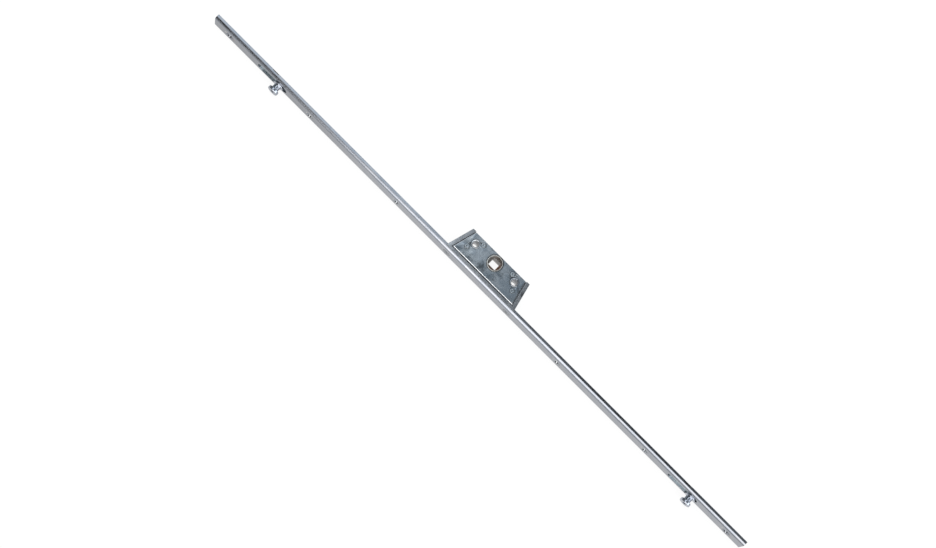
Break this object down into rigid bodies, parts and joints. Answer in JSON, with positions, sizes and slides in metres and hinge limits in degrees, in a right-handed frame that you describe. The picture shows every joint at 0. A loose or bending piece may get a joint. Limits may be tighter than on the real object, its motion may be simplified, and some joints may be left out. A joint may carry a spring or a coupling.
{
  "type": "espagnolette window lock",
  "caption": "Channel rail with a sliding drive bar, mushroom locking cams and a central rack gearbox turned by a square spindle.",
  "frame": {"origin": "on the spindle axis, at the middle of the rail's width", "axes": "+X along the rail, +Y from the rail's face back into the sash, +Z along the spindle, out of the covered side of the gearbox"},
  "size_m": [0.588, 0.0348, 0.018],
  "materials": {
    "rail_plate": "bright zinc plate",
    "bar_plate": "zinc plate",
    "bush_steel": "bright zinc plate",
    "cam_steel": "polished zinc plate",
    "case_zinc": "die-cast zinc, satin",
    "cover_zinc": "blue-grey zinc sheet, satin",
    "rack_steel": "sintered steel, oiled",
    "follower_bronze": "sintered bronze, dark",
    "rivet_steel": "zinc plate"
  },
  "bodies": {
    "frame": {"rail": "rail_plate", "gear_case": "case_zinc", "case_cover": "cover_zinc", "screw_bush_left": "bush_steel", "screw_bush_right": "bush_steel", "case_rivets": "rivet_steel", "cover_rivets": "case_zinc", "guide_bush_1": "bush_steel", "guide_bush_2": "bush_steel", "guide_bush_3": "bush_steel", "guide_bush_4": "bush_steel"},
    "slider": {"drive_bar": "bar_plate", "rack": "rack_steel", "rack_rivets": "rivet_steel", "cam_washer_left": "rivet_steel", "cam_washer_right": "rivet_steel"},
    "left_cam": {"cam_left": "cam_steel", "cam_collar_left": "cam_steel"},
    "right_cam": {"cam_right": "cam_steel", "cam_collar_right": "cam_steel"},
    "spindle_follower": {"follower": "follower_bronze"}
  },
  "joints": [
    {"name": "spindle_turn", "type": "hinge", "parent": "frame", "child": "spindle_follower", "pos_m": [0, 0, 0], "axis": [0, 0, -1], "range_deg": [0, 90]},
    {"name": "bar_slide", "type": "slide", "parent": "frame", "child": "slider", "axis": [-1, 0, 0], "range_m": [0, 0.0167]},
    {"name": "left_cam_adjust", "type": "hinge", "parent": "slider", "child": "left_cam", "pos_m": [-0.22176, -0.0211, 0], "axis": [0, -1, 0], "continuous": true},
    {"name": "right_cam_adjust", "type": "hinge", "parent": "slider", "child": "right_cam", "pos_m": [0.23844, -0.0211, 0], "axis": [0, -1, 0], "continuous": true}
  ],
  "couplings": [
    {"joint": "bar_slide", "follows": "spindle_turn", "m_per_rad": 0.010625}
  ]
}
